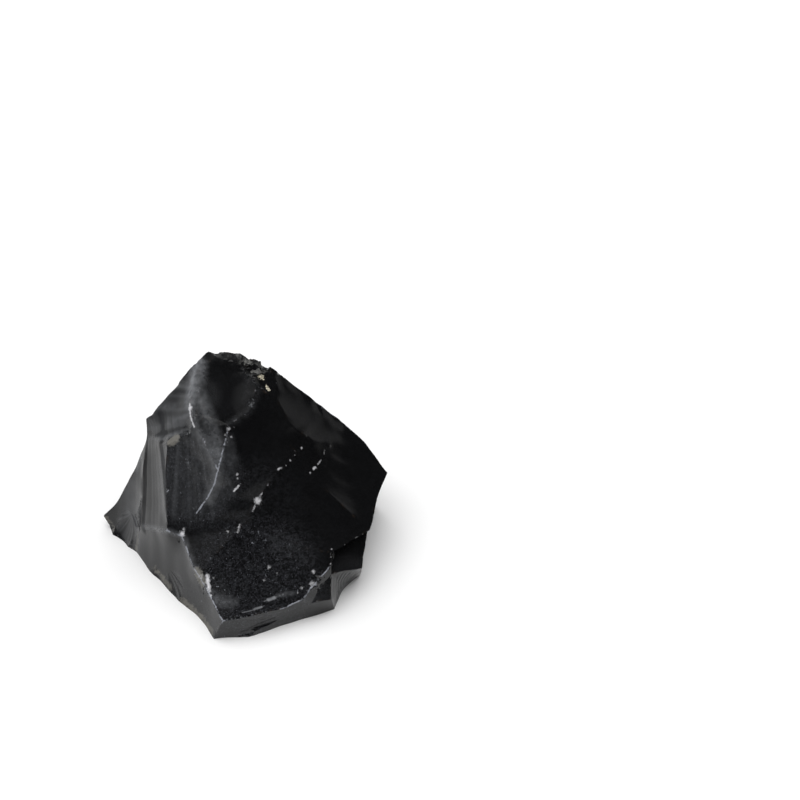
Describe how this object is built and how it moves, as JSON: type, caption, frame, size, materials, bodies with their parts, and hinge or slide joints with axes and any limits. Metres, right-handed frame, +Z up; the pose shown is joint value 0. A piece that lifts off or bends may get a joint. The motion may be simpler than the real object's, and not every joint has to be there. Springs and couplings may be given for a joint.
{
  "type": "obsidian chunk",
  "caption": "Rough chunk of black obsidian with glassy dished fracture faces, a knobbed top, a bruised crest and sharp chipped edges, resting on a flat broken face.",
  "frame": {"origin": "middle of the chunk's footprint box, on the surface it rests on", "axes": "+Z up; the big sloping front face looks along -Y; +X runs from the left tip to the right tip"},
  "size_m": [0.059, 0.0544, 0.039],
  "materials": {
    "obsidian": "glassy black, finely dusted, with chalky bruises along the edges"
  },
  "bodies": {
    "root": {"obsidian_chunk": "obsidian"}
  },
  "joints": []
}
